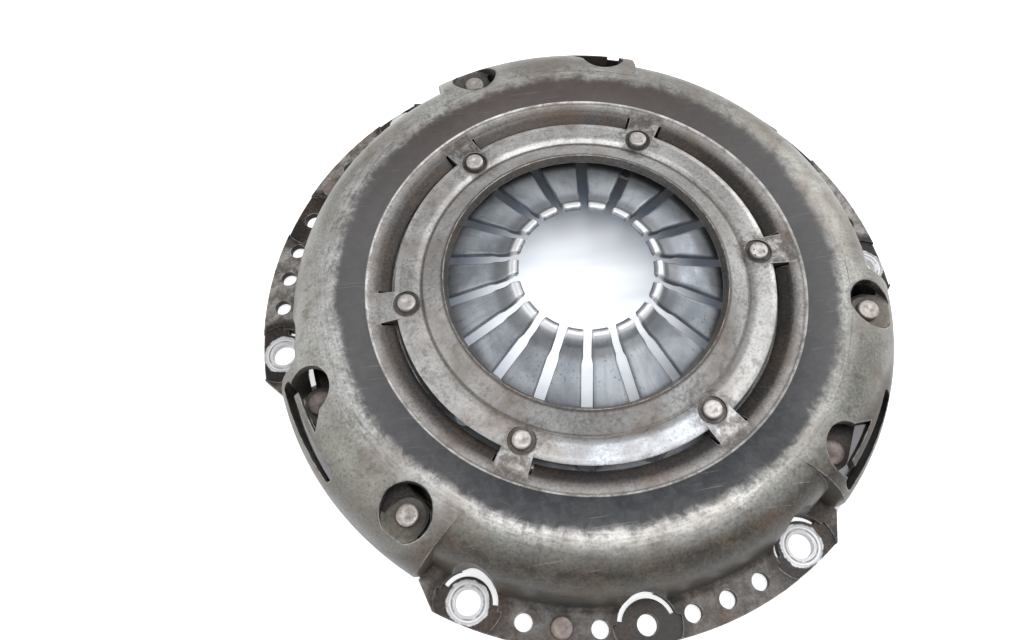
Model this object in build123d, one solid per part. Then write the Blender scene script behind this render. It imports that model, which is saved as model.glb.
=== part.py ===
from build123d import *
from math import asin, atan2, cos, degrees, hypot, radians, sin, tan
import os

# Diaphragm-spring clutch cover assembly, in millimetres.
# The origin is on the clutch axis, in the face that bolts to the flywheel, and +Z points to the gearbox.
# Angles are in degrees about Z, and each of the three strap stations runs clockwise from its first bolt.
# Radii are set as a chain of widths from the finger tips outwards, and heights as steps down from the crown.

# Diaphragm spring
finger_count = 18
spring_thickness = 2.8
finger_tip_radius = 25.6
tip_width = 2.6
riser_width = 3.2
finger_width = 28.6
knee_to_rivets = 9.5
spring_overhang = 2.5
knee_depth = 6.0
cone_drop = 8.7
finger_rise = 11.4
riser_rise = 4.3
tip_drop = 1.2
finger_bend = 0.5
finger_slot = 3.4
tip_slot = 3.0
slot_step = 4.6
keyhole_diameter = 8.8

# Cover pressing: sheet, band, tabs, bridges, inner ring and lip
sheet = 3.5
crown_top = 36.0
ring_depth = 2.5
opening_inset = 14.7
opening_rise = 4.0
groove_inset = 5.7
groove_depth = 1.0
bead_inset = 3.5
ring_flat_offset = 2.5
ring_edge_offset = 4.5
ring_edge_drop = 0.6
tab_offset = 5.9
tab_drop = 2.45
tab_gap_angle = 0.7
shelf_offset = 10.8
shelf_depth = 3.0
shelf_rise = 0.5
step_offset = 14.4
band_offset = 15.2
band_drop = 1.7
bridge_half_angle = 4.6
press_bend = 1.2

# Cover pressing: dome
station_count = 3
crown_offset = 27.5
shoulder_radius = 20.0
wall_draft = 8.0
foot_fillet = 3.0
station_half_angle = 21.0
station_blend_angle = 3.5
station_corner = 6.0
station_root_offset = 4.0
station_corner_margin = 0.6
station_skirt_bottom = 4.0
station_skirt_height = 3.0

# Cover pressing: flange and bolting
bolt_count = 6
bolt_inset = 1.0
bolt_hole_diameter = 9.2
bolt_seat_diameter = 15.0
bolt_seat_depth = 0.3
flange_edge = 8.0
flange_corner_offset = 1.0
flange_raise = 1.0
flange_half_angle = 34.7
pad_radius = 12.5
pad_edge_radius = 9.0
tool_clearance_radius = 11.0
relief_half_angle = 75.0
dowel_offset = 1.0
dowel_hole_diameter = 7.5
balance_offset = 1.0
balance_hole_diameter = 6.5
balance_hole_angles = (7.75, 14.0, 20.3)

# Strap stations
strap_rivet_angle = 15.0
cover_strap_inset = 15.3
plate_strap_inset = 14.5
pad_window_radius = 9.8
pad_tongue_radius = 7.4
pad_depth = 11.0
access_window_radius = 9.2
access_window_offset = 1.9
access_window_angle = 45.6
access_point_offset = 6.1
access_point_angle = 37.6
bar_offset = 5.4
bar_width = 2.3
bar_tip_angle = 46.6
bar_slot_width = 3.8
bar_slot_round = 1.8
slot_start_angle = 30.0
slot_end_angle = 50.2

# Straps and their rivets
leaf_count = 3
leaf_thickness = 0.8
leaf_pitch = 0.85
leaf_width = 13.0
leaf_end_margin = 1.0
leaf_flat = 13.0
leaf_bend = 30.0
strap_shank_diameter = 6.0
rivet_clearance = 0.1
cover_rivet_head_diameter = 8.3
cover_rivet_head_height = 2.5
cover_rivet_foot_diameter = 9.5
plate_rivet_head_diameter = 10.0
plate_rivet_head_height = 2.2
plate_rivet_foot_depth = 2.0
strap_rivet_foot_height = 1.8
head_round = 0.8

# Fulcrum rings and the stepped rivets that hang the spring
ring_rivet_count = 6
ring_rivet_head_diameter = 7.1
ring_rivet_head_height = 1.5
ring_rivet_shank_diameter = 5.6
ring_rivet_shoulder_diameter = 7.6
ring_rivet_collar_diameter = 18.0
ring_rivet_collar_height = 2.2
rivet_spotface_diameter = 10.5
rivet_spotface_depth = 0.7
fulcrum_wire_diameter = 2.6
fulcrum_offset = 6.5
fulcrum_gap = 0.08

# Pressure plate casting
plate_bore_offset = 8.5
plate_step_offset = 14.5
plate_overhang = 1.0
plate_clearance = 7.3
plate_thickness = 9.0
plate_step_depth = 3.5
plate_edge_chamfer = 1.0
ridge_inset = 2.5
ridge_half_width = 2.2
ridge_gap = 0.1
lug_radius = 8.2
lug_rise = 2.0
lug_foot = 1.5
lug_overhang = 6.0
scallop_radius = 8.2

# Balance rivets: which flange sector, and the angle of the hole from that sector's middle
balance_rivets = ((0, -14.0), (1, -7.75))
balance_head_diameter = 8.0
balance_head_height = 1.6
balance_foot_height = 0.7

# Worked-out radii, from the finger tips outwards
finger_crest_radius = finger_tip_radius + tip_width
finger_riser_radius = finger_crest_radius + riser_width
slot_step_radius = finger_riser_radius + slot_step
spring_knee_radius = finger_riser_radius + finger_width
ring_rivet_circle_radius = spring_knee_radius + knee_to_rivets
opening_radius = ring_rivet_circle_radius - opening_inset
groove_radius = ring_rivet_circle_radius - groove_inset
ring_bead_radius = ring_rivet_circle_radius - bead_inset
ring_flat_radius = ring_rivet_circle_radius + ring_flat_offset
ring_outer_radius = ring_rivet_circle_radius + ring_edge_offset
tab_radius = ring_rivet_circle_radius + tab_offset
fulcrum_ring_radius = ring_rivet_circle_radius + fulcrum_offset
shelf_radius = ring_rivet_circle_radius + shelf_offset
step_radius = ring_rivet_circle_radius + step_offset
band_inner_radius = ring_rivet_circle_radius + band_offset
plate_inner_radius = ring_rivet_circle_radius + plate_bore_offset
plate_step_radius = ring_rivet_circle_radius + plate_step_offset
crown_radius = ring_rivet_circle_radius + crown_offset
spring_outer_radius = crown_radius + spring_overhang
ridge_radius = spring_outer_radius - ridge_inset
station_root_radius = crown_radius + station_root_offset
station_shoulder_radius = crown_top - station_skirt_bottom - station_skirt_height
station_outer_radius = crown_radius + station_shoulder_radius
cover_strap_radius = station_outer_radius - cover_strap_inset
plate_strap_radius = station_outer_radius - plate_strap_inset
plate_outer_radius = plate_strap_radius + plate_overhang
lug_reach = plate_strap_radius + lug_overhang
access_window_reach = plate_strap_radius + access_window_offset
access_point_radius = plate_strap_radius + access_point_offset
bar_inner_radius = plate_strap_radius + bar_offset
bar_outer_radius = bar_inner_radius + bar_width
slot_outer_radius = bar_outer_radius + bar_slot_width
bolt_circle_radius = station_outer_radius - bolt_inset
dowel_circle_radius = bolt_circle_radius + dowel_offset
balance_circle_radius = bolt_circle_radius + balance_offset
flange_end_radius = bolt_circle_radius + flange_corner_offset
flange_radius = bolt_circle_radius + flange_edge

# Worked-out heights, from the crown downwards
band_inner_top = crown_top - band_drop
shelf_top = crown_top - shelf_depth
step_top = shelf_top + shelf_rise
tab_top = shelf_top - tab_drop
ring_top = crown_top - ring_depth
ring_bottom = ring_top - sheet
groove_top = ring_top - groove_depth
opening_top = ring_top + opening_rise
pad_top = crown_top - pad_depth
pad_bottom = pad_top - sheet
spring_knee_top = ring_top - knee_depth
spring_outer_top = spring_knee_top - cone_drop
finger_riser_top = spring_knee_top + finger_rise
finger_crest_top = finger_riser_top + riser_rise
finger_tip_top = finger_crest_top - tip_drop
plate_top = spring_outer_top - plate_clearance
plate_inner_top = plate_top - plate_step_depth
friction_face_height = plate_top - plate_thickness
lug_top = plate_top + lug_rise
lug_bottom = friction_face_height + lug_foot
flange_top = flange_raise + sheet
strap_stack = leaf_pitch * (leaf_count - 1) + leaf_thickness
above = crown_top + 2 * pad_depth
below = friction_face_height - pad_depth

# Worked-out angles
station_step = 360.0 / station_count
bolt_step = 360.0 / bolt_count
bridge_step = 360.0 / ring_rivet_count
station_centres = [-station_step * (index + 0.25) for index in range(station_count)]
sector_centres = [-station_step * (index + 0.75) for index in range(station_count)]
sector_half_angle = station_step / 2 - station_half_angle - station_blend_angle
flange_end_half_angle = station_step / 2 - station_half_angle
lug_angle_offset = station_step / 4 - strap_rivet_angle


def polar(radius, angle):
    """Plan point at a radius and an angle."""
    return radius * cos(radians(angle)), radius * sin(radians(angle))


def at(radius, angle):
    """Place on the part at a radius and an angle, turned to face outwards."""
    return Rot(0, 0, angle) * Pos(radius, 0, 0)


def section_face(*edges):
    """Face in the XZ plane from edges drawn as (radius, height)."""
    return Plane.XZ * make_face(Wire(list(edges)))


def swept(face, centre_angle, half_angle):
    """Face turned about the clutch axis over an arc around a centre angle."""
    turned = revolve(face, axis=Axis.Z, revolution_arc=2 * half_angle)
    return Rot(0, 0, centre_angle - half_angle) * turned


def whole_turn(face):
    """Face turned once about the clutch axis."""
    return revolve(face, axis=Axis.Z)


def polygon_face(*points):
    """Straight-sided section of (radius, height) corners."""
    return section_face(*Polyline(*points, close=True).edges())


def sheet_face(points, thickness, bend):
    """Section of bent sheet: a top line of (radius, height) points, thickened downwards, with round bends."""
    directions = []
    for first, second in zip(points, points[1:]):
        length = hypot(second[0] - first[0], second[1] - first[1])
        directions.append(((second[0] - first[0]) / length, (second[1] - first[1]) / length))
    under = []
    top_radii = []
    under_radii = []
    for index, point in enumerate(points):
        before = directions[max(index - 1, 0)]
        after = directions[min(index, len(directions) - 1)]
        normal = (before[1] + after[1], -before[0] - after[0])
        reach = thickness * 2 / (normal[0] ** 2 + normal[1] ** 2)
        under.append((point[0] + normal[0] * reach, point[1] + normal[1] * reach))
        if 0 < index < len(points) - 1:
            turns_up = before[0] * after[1] - before[1] * after[0] > 0
            top_radii.append(bend if turns_up else bend + thickness)
            under_radii.append(bend + thickness if turns_up else bend)
    if len(points) == 2:
        return polygon_face(*points, *reversed(under))
    top_line = FilletPolyline(*points, radius=top_radii)
    under_line = FilletPolyline(*under, radius=under_radii)
    ends = [Line(points[0], under[0]), Line(points[-1], under[-1])]
    return section_face(*top_line.edges(), *under_line.edges(), *ends)


def plan_sector(inner_radius, outer_radius, start_angle, end_angle):
    """Plan face between two radii and two angles."""
    middle = (start_angle + end_angle) / 2
    outer = ThreePointArc(
        polar(outer_radius, start_angle), polar(outer_radius, middle), polar(outer_radius, end_angle)
    )
    inner = ThreePointArc(
        polar(inner_radius, start_angle), polar(inner_radius, middle), polar(inner_radius, end_angle)
    )
    sides = [Line(outer @ 0, inner @ 0), Line(outer @ 1, inner @ 1)]
    return make_face(Wire([*outer.edges(), *inner.edges(), *sides]))


def upright(face, bottom, top):
    """Plan face raised into a prism between two heights."""
    return Pos(0, 0, bottom) * extrude(face, amount=top - bottom, dir=(0, 0, 1))


def disc(radius, bottom, top):
    """Upright cylinder between two heights."""
    return Pos(0, 0, (bottom + top) / 2) * Cylinder(radius, top - bottom)


def shoulder_arc(arc_radius, shell_radius, wall_angle):
    """Arc of a shoulder that starts level at the crown, for the outer or the inner face of the sheet."""
    centre = (crown_radius, crown_top - arc_radius)
    return CenterArc(centre, shell_radius, wall_angle, 90 - wall_angle)


def along_wall(start, height):
    """Point on the drafted wall line through a start point, at a height."""
    return start.X + (start.Y - height) * tan(radians(wall_draft)), height


def dome_region(inset, foot_height, foot_bend, bottom):
    """Section of all that lies under the plain dome's outer face, or under its inner face with an inset."""
    arc = shoulder_arc(shoulder_radius, shoulder_radius - inset, wall_draft)
    foot = along_wall(arc @ 0, foot_height)
    stub = foot[0] + 2 * foot_bend
    wall = FilletPolyline(arc @ 0, foot, (stub, foot_height), radius=foot_bend)
    rest = Polyline((stub, foot_height), (stub, bottom), (crown_radius, bottom), arc @ 1)
    return section_face(*arc.edges(), *wall.edges(), *rest.edges())


def station_region(inset, bottom):
    """Section of all that lies under a strap station's outer face, or under its inner face with an inset."""
    arc = shoulder_arc(station_shoulder_radius, station_shoulder_radius - inset, 0)
    rest = Polyline(arc @ 0, ((arc @ 0).X, bottom), (crown_radius, bottom), arc @ 1)
    return section_face(*arc.edges(), *rest.edges())


def station_plan(inset):
    """Plan of one strap station around angle zero, with slanted sides and round outer corners."""
    reach = station_outer_radius + station_corner_margin - inset
    root = station_root_radius + inset
    half_angle = station_half_angle - degrees(inset / reach)
    root_angle = station_half_angle + station_blend_angle - degrees(inset / root)
    outer = ThreePointArc(polar(reach, -half_angle), (reach, 0), polar(reach, half_angle))
    inner = ThreePointArc(polar(root, -root_angle), (root, 0), polar(root, root_angle))
    sides = [Line(outer @ 0, inner @ 0), Line(outer @ 1, inner @ 1)]
    plan = make_face(Wire([*outer.edges(), *inner.edges(), *sides]))
    corners = plan.vertices().sort_by(SortBy.DISTANCE)[-2:]
    return fillet(corners, station_corner - inset)


def cover_shell():
    """Shoulder of the cover from the crown outwards: plain dome, with three strap stations standing out."""
    plan = station_plan(0)
    inner_plan = station_plan(sheet)
    outer_station = swept(station_region(0, station_skirt_bottom), 0, sector_half_angle)
    outer_station = outer_station & upright(plan, below, above)
    inner_station = swept(station_region(sheet, below), 0, sector_half_angle)
    inner_station = inner_station & upright(inner_plan, below, above)
    shell = whole_turn(dome_region(0, flange_top, foot_fillet, flange_raise))
    shell -= [Rot(0, 0, centre) * upright(plan, below, above) for centre in station_centres]
    shell += [Rot(0, 0, centre) * outer_station for centre in station_centres]
    shell -= whole_turn(dome_region(sheet, flange_raise, foot_fillet + sheet, below))
    shell -= [Rot(0, 0, centre) * inner_station for centre in station_centres]
    return shell


def band_section():
    """Shelf, the small step up to the band, and the band rising to the crown as an arc that ends level."""
    rise = crown_top - band_inner_top
    run = crown_radius - band_inner_radius
    radius = (run ** 2 + rise ** 2) / (2 * rise)
    centre = (crown_radius, crown_top - radius)
    outer_sweep = degrees(asin(run / radius))
    inner_sweep = degrees(asin(run / (radius - sheet)))
    outer = CenterArc(centre, radius, 90, outer_sweep)
    inner = CenterArc(centre, radius - sheet, 90, inner_sweep)
    step_foot = (step_radius, step_top)
    shelf_end = (shelf_radius, shelf_top)
    shelf = Polyline(outer @ 1, step_foot, shelf_end, (shelf_radius, shelf_top - sheet), inner @ 1)
    return section_face(*outer.edges(), *shelf.edges(), *inner.edges(), Line(outer @ 0, inner @ 0))


def cover_centre():
    """Lip, inner ring, bridges, lanced tabs and band: what lies inside the crown."""
    ring_line = [
        (opening_radius, opening_top),
        (groove_radius, groove_top),
        (ring_bead_radius, ring_top),
        (ring_flat_radius, ring_top),
        (ring_outer_radius, ring_top - ring_edge_drop),
    ]
    centre = whole_turn(sheet_face(ring_line, sheet, press_bend)) + whole_turn(band_section())
    overlap = sheet / 4
    bridge_line = [
        (ring_flat_radius - overlap, ring_top),
        (shelf_radius + overlap, shelf_top + overlap * shelf_rise / (step_radius - shelf_radius)),
    ]
    bridge = sheet_face(bridge_line, sheet, press_bend)
    tab = sheet_face([(tab_radius, tab_top), (shelf_radius, shelf_top)], sheet, press_bend)
    tab_half_angle = bridge_step / 2 - bridge_half_angle - tab_gap_angle
    for index in range(ring_rivet_count):
        centre += swept(bridge, -index * bridge_step, bridge_half_angle)
        centre += swept(tab, -(index + 0.5) * bridge_step, tab_half_angle)
    return centre


def flange_plan():
    """Plan outline of one flange sector around angle zero, with slanted ends."""
    root_radius = bolt_circle_radius - pad_edge_radius
    outer = ThreePointArc(
        polar(flange_radius, -flange_half_angle), (flange_radius, 0), polar(flange_radius, flange_half_angle)
    )
    root_start = polar(root_radius, -flange_end_half_angle)
    root = ThreePointArc(root_start, (root_radius, 0), polar(root_radius, flange_end_half_angle))
    ends = []
    for side in (-1, 1):
        corner = polar(flange_end_radius, side * flange_end_half_angle)
        ends.append(Line(polar(flange_radius, side * flange_half_angle), corner))
        ends.append(Line(corner, polar(root_radius, side * flange_end_half_angle)))
    return make_face(Wire([*outer.edges(), *root.edges(), *ends]))


def seats_of_sector():
    """Radius, angle and hole size of each bolt and dowel seat of a sector around angle zero."""
    return [
        (bolt_circle_radius, -bolt_step / 2, bolt_hole_diameter),
        (dowel_circle_radius, 0.0, dowel_hole_diameter),
        (bolt_circle_radius, bolt_step / 2, bolt_hole_diameter),
    ]


def flange_sector():
    """Raised flange of one sector with its lower seat pads, before its holes are made."""
    plan = flange_plan()
    raised = upright(plan, flange_raise, flange_top)
    outline = upright(plan, 0, sheet)
    for radius, angle, _ in seats_of_sector():
        raised -= at(radius, angle) * disc(pad_radius, sheet, above)
        raised += (at(radius, angle) * disc(pad_radius, 0, sheet)) & outline
    return raised


def sector_cuts():
    """Tool clearance, relief crescents and holes of one flange sector around angle zero."""
    cuts = []
    for radius, angle, hole in seats_of_sector():
        seat = at(radius, angle)
        crescent = disc(tool_clearance_radius, below, sheet) - disc(pad_edge_radius, below, sheet)
        wedge = plan_sector(1, 2 * tool_clearance_radius, 180 - relief_half_angle, 180 + relief_half_angle)
        cuts.append(seat * disc(tool_clearance_radius, sheet, above))
        cuts.append(seat * (crescent & upright(wedge, below, sheet)))
        cuts.append(seat * disc(hole / 2, below, above))
        if radius == bolt_circle_radius and angle:
            cuts.append(seat * disc(bolt_seat_diameter / 2, sheet - bolt_seat_depth, above))
    for hole_angle in balance_hole_angles:
        for side in (-1, 1):
            hole = disc(balance_hole_diameter / 2, below, above)
            cuts.append(at(balance_circle_radius, side * hole_angle) * hole)
    return cuts


def access_window():
    """Plan of the teardrop access window and its long slot, for a station that starts at angle zero."""
    window = Pos(*polar(access_window_reach, -access_window_angle)) * Circle(access_window_radius)
    point = polar(access_point_radius, -access_point_angle)
    inner_tangent = polar(access_window_reach - access_window_radius, -access_window_angle)
    outer_tangent = polar(access_window_reach + access_window_radius / 2, -access_window_angle)
    window += make_face(Polyline(point, inner_tangent, outer_tangent, close=True))
    bar = plan_sector(bar_inner_radius, bar_outer_radius, -bar_tip_angle, -slot_start_angle)
    outside = plan_sector(bar_outer_radius, 2 * slot_outer_radius, -2 * bar_tip_angle, 0)
    slot = plan_sector(bar_outer_radius, slot_outer_radius, -slot_end_angle, -slot_start_angle)
    slot = fillet(slot.vertices(), bar_slot_round)
    return window - bar - outside, slot


def pad_tongue():
    """Lowered tongue that carries the strap, joined to the dome on its outer side."""
    end = disc(pad_tongue_radius, pad_bottom, pad_top)
    reach = station_outer_radius - cover_strap_radius
    root = upright(
        Pos(reach / 2, 0) * Rectangle(reach, 2 * pad_tongue_radius), pad_bottom, pad_top
    )
    envelope_corner = (crown_radius, crown_top - station_shoulder_radius)
    envelope_arc = CenterArc(envelope_corner, station_shoulder_radius, 0, 90)
    envelope_sides = [Line(envelope_arc @ 1, envelope_corner), Line(envelope_corner, envelope_arc @ 0)]
    envelope = section_face(*envelope_arc.edges(), *envelope_sides)
    tongue = at(cover_strap_radius, -strap_rivet_angle) * (end + root)
    tongue = tongue & swept(envelope, -strap_rivet_angle, strap_rivet_angle)
    hole = disc(strap_shank_diameter / 2 + rivet_clearance, below, above)
    return tongue - at(cover_strap_radius, -strap_rivet_angle) * hole


def build_cover():
    """Deep-drawn cover with its flange sectors, strap stations, windows and holes."""
    cover = cover_centre() + cover_shell()
    flange = flange_sector()
    cover += [Rot(0, 0, centre) * flange for centre in sector_centres]
    cuts = [Rot(0, 0, centre) * cut for cut in sector_cuts() for centre in sector_centres]
    window, slot = access_window()
    floor = crown_top - station_shoulder_radius
    pad_place = at(cover_strap_radius, -strap_rivet_angle)
    station_cuts = [
        upright(window, floor, above),
        upright(slot, floor, above),
        pad_place * disc(pad_window_radius, pad_top, above),
    ]
    station_turns = [Rot(0, 0, -index * station_step) for index in range(station_count)]
    cuts += [turn * cut for cut in station_cuts for turn in station_turns]
    rivet_cut = disc(ring_rivet_shank_diameter / 2 + rivet_clearance, below, above)
    rivet_cut += disc(rivet_spotface_diameter / 2, ring_top - rivet_spotface_depth, above)
    rivet_cut += disc(ring_rivet_shoulder_diameter / 2 + rivet_clearance, below, ring_bottom)
    rivet_places = [at(ring_rivet_circle_radius, -index * bridge_step) for index in range(ring_rivet_count)]
    cuts += [place * rivet_cut for place in rivet_places]
    cover -= cuts
    tongue = pad_tongue()
    return cover + [turn * tongue for turn in station_turns]


def spring_top(radius):
    """Height of the spring's upper face outside the knee."""
    slope = (spring_knee_top - spring_outer_top) / (spring_outer_radius - spring_knee_radius)
    return spring_knee_top - slope * (radius - spring_knee_radius)


def spring_drop():
    """Vertical thickness of the sloping outer part of the spring."""
    run = spring_outer_radius - spring_knee_radius
    rise = spring_knee_top - spring_outer_top
    return spring_thickness * hypot(run, rise) / run


def build_spring():
    """Slotted conical spring with raised finger tips."""
    line = [
        (finger_tip_radius, finger_tip_top),
        (finger_crest_radius, finger_crest_top),
        (finger_riser_radius, finger_riser_top),
        (spring_knee_radius, spring_knee_top),
        (spring_outer_radius, spring_outer_top),
    ]
    spring = whole_turn(sheet_face(line, spring_thickness, finger_bend))
    reach = ring_rivet_circle_radius - slot_step_radius
    slot = Pos(slot_step_radius + reach / 2, 0) * Rectangle(reach, finger_slot)
    slot += Pos(slot_step_radius / 2, 0) * Rectangle(slot_step_radius, tip_slot)
    slot += Pos(ring_rivet_circle_radius, 0) * Circle(keyhole_diameter / 2)
    cutter = upright(slot, below, above)
    for index in range(finger_count):
        spring -= Rot(0, 0, index * 360.0 / finger_count) * cutter
    return spring


def fulcrum_heights():
    """Centre heights of the upper and lower fulcrum wires, which hold the spring between them."""
    half_wire = fulcrum_wire_diameter / 2
    slope = (spring_knee_top - spring_outer_top) / (spring_outer_radius - spring_knee_radius)
    stand_off = (half_wire + fulcrum_gap) * hypot(1, slope)
    upper = spring_top(fulcrum_ring_radius) + stand_off
    lower = spring_top(fulcrum_ring_radius) - spring_drop() - stand_off
    return upper, lower


def build_fulcrum_ring(height):
    """Closed ring of round wire."""
    return Pos(0, 0, height) * Torus(fulcrum_ring_radius, fulcrum_wire_diameter / 2)


def rounded_head(radius, bottom, top):
    """Rivet head with a rounded upper edge."""
    head = disc(radius, bottom, top)
    rim = head.edges().group_by(Axis.Z)[-1]
    return fillet(rim, min(head_round, (top - bottom) / 2))


def build_ring_rivet():
    """Stepped rivet: head on the cover ring, shoulder through the spring, collar under the lower wire."""
    seat = ring_top - rivet_spotface_depth
    collar_top = fulcrum_heights()[1] - fulcrum_wire_diameter / 2 - fulcrum_gap
    rivet = rounded_head(ring_rivet_head_diameter / 2, seat, ring_top + ring_rivet_head_height)
    rivet += disc(ring_rivet_shank_diameter / 2, ring_bottom, seat)
    rivet += disc(ring_rivet_shoulder_diameter / 2, collar_top, ring_bottom)
    rivet += disc(ring_rivet_collar_diameter / 2, collar_top - ring_rivet_collar_height, collar_top)
    return rivet


def strap_frame():
    """Chord length between a station's two strap rivets, and the place of the chord's start."""
    start = Vector(*polar(cover_strap_radius, -strap_rivet_angle))
    end = Vector(*polar(plate_strap_radius, -strap_rivet_angle - 2 * lug_angle_offset))
    chord = end - start
    return chord.length, Location(start, (0, 0, degrees(atan2(chord.Y, chord.X))))


def build_leaf(index):
    """One leaf of a strap pack: flat at both rivets, with a gentle step between."""
    length, place = strap_frame()
    cover_top = pad_bottom - index * leaf_pitch
    plate_leaf_top = lug_top + strap_stack - index * leaf_pitch
    margin = leaf_width / 2 + leaf_end_margin
    line = [
        (-margin, cover_top),
        (leaf_flat, cover_top),
        (length - leaf_flat, plate_leaf_top),
        (length + margin, plate_leaf_top),
    ]
    ribbon = extrude(sheet_face(line, leaf_thickness, leaf_bend), amount=leaf_width, both=True)
    plan = Pos(length / 2, 0) * SlotCenterToCenter(length, leaf_width)
    for rivet_place in (0, length):
        plan -= Pos(rivet_place, 0) * Circle(strap_shank_diameter / 2 + rivet_clearance)
    return place * (ribbon & upright(plan, below, above))


def build_cover_strap_rivet():
    """Rivet that fixes a strap pack under its cover pad."""
    stack_bottom = pad_bottom - strap_stack
    rivet = rounded_head(cover_rivet_head_diameter / 2, pad_top, pad_top + cover_rivet_head_height)
    rivet += disc(strap_shank_diameter / 2, stack_bottom, pad_top)
    rivet += disc(cover_rivet_foot_diameter / 2, stack_bottom - strap_rivet_foot_height, stack_bottom)
    return rivet


def build_plate_strap_rivet():
    """Rivet that fixes a strap pack on a plate lug, with its foot sunk in the lug's lower face."""
    stack_top = lug_top + strap_stack
    rivet = rounded_head(plate_rivet_head_diameter / 2, stack_top, stack_top + plate_rivet_head_height)
    rivet += disc(strap_shank_diameter / 2, lug_bottom, stack_top)
    rivet += disc(cover_rivet_foot_diameter / 2, lug_bottom, lug_bottom + plate_rivet_foot_depth)
    return rivet


def build_plate():
    """Cast ring with a flat friction face, a fulcrum ridge, three lugs and three rivet scallops."""
    ridge_top = spring_top(ridge_radius + ridge_half_width / 2) - spring_drop() - ridge_gap
    chamfer_size = plate_edge_chamfer
    plate = whole_turn(polygon_face(
        (plate_inner_radius + chamfer_size, friction_face_height),
        (plate_outer_radius - chamfer_size, friction_face_height),
        (plate_outer_radius, friction_face_height + chamfer_size),
        (plate_outer_radius, plate_top - 2 * chamfer_size),
        (plate_outer_radius - 2 * chamfer_size, plate_top),
        (ridge_radius + 2 * ridge_half_width, plate_top),
        (ridge_radius + ridge_half_width / 2, ridge_top),
        (ridge_radius - ridge_half_width / 2, ridge_top),
        (ridge_radius - 2 * ridge_half_width, plate_top),
        (plate_step_radius, plate_top),
        (plate_step_radius - 2 * chamfer_size, plate_inner_top),
        (plate_inner_radius, plate_inner_top),
        (plate_inner_radius, friction_face_height + chamfer_size),
    ))
    lug_angle = -strap_rivet_angle - 2 * lug_angle_offset
    lug = disc(lug_radius, lug_bottom, lug_top)
    web = upright(Pos(-lug_radius, 0) * Rectangle(2 * lug_radius, 2 * lug_radius), lug_bottom, plate_top)
    lug = lug + web
    reach_limit = disc(lug_reach, below, above)
    ridge_keep_out = disc(ridge_radius + ridge_half_width / 2, plate_top, above)
    hole = disc(strap_shank_diameter / 2 + rivet_clearance, below, above)
    foot_hole_top = lug_bottom + plate_rivet_foot_depth + rivet_clearance
    foot_hole = disc(cover_rivet_foot_diameter / 2 + rivet_clearance, below, foot_hole_top)
    for index in range(station_count):
        turn = Rot(0, 0, -index * station_step)
        placed = at(plate_strap_radius, lug_angle) * lug
        plate += turn * ((placed & reach_limit) - ridge_keep_out)
        plate -= turn * at(plate_strap_radius, lug_angle) * (hole + foot_hole)
        plate -= turn * at(cover_strap_radius, -strap_rivet_angle) * disc(scallop_radius, below, above)
    return plate


def build_balance_rivet():
    """Rivet set in a flange hole to balance the assembly."""
    rivet = rounded_head(balance_head_diameter / 2, flange_top, flange_top + balance_head_height)
    rivet += disc(balance_hole_diameter / 2 - rivet_clearance, flange_raise, flange_top)
    rivet += disc(balance_head_diameter / 2, flange_raise - balance_foot_height, flange_raise)
    return rivet


os.makedirs("parts", exist_ok=True)
parts = {
    "cover": build_cover(),
    "pressure_plate": build_plate(),
    "diaphragm_spring": build_spring(),
    "upper_fulcrum_ring": build_fulcrum_ring(fulcrum_heights()[0]),
    "lower_fulcrum_ring": build_fulcrum_ring(fulcrum_heights()[1]),
}
ring_rivet = build_ring_rivet()
for number in range(ring_rivet_count):
    place = at(ring_rivet_circle_radius, -number * bridge_step)
    parts[f"ring_rivet_{number + 1}"] = place * ring_rivet
leaves = [build_leaf(index) for index in range(leaf_count)]
cover_strap_rivet = build_cover_strap_rivet()
plate_strap_rivet = build_plate_strap_rivet()
for number in range(station_count):
    turn = Rot(0, 0, -number * station_step)
    for index, leaf in enumerate(leaves):
        parts[f"strap_{number + 1}_leaf_{index + 1}"] = turn * leaf
    cover_end = at(cover_strap_radius, -strap_rivet_angle)
    plate_end = at(plate_strap_radius, -strap_rivet_angle - 2 * lug_angle_offset)
    parts[f"cover_strap_rivet_{number + 1}"] = turn * cover_end * cover_strap_rivet
    parts[f"plate_strap_rivet_{number + 1}"] = turn * plate_end * plate_strap_rivet
balance_rivet = build_balance_rivet()
for number, (sector, angle) in enumerate(balance_rivets):
    place = at(balance_circle_radius, sector_centres[sector] + angle)
    parts[f"balance_rivet_{number + 1}"] = place * balance_rivet

for name, shape in parts.items():
    export_step(shape, f"parts/{name}.step")
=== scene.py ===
import math

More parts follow.
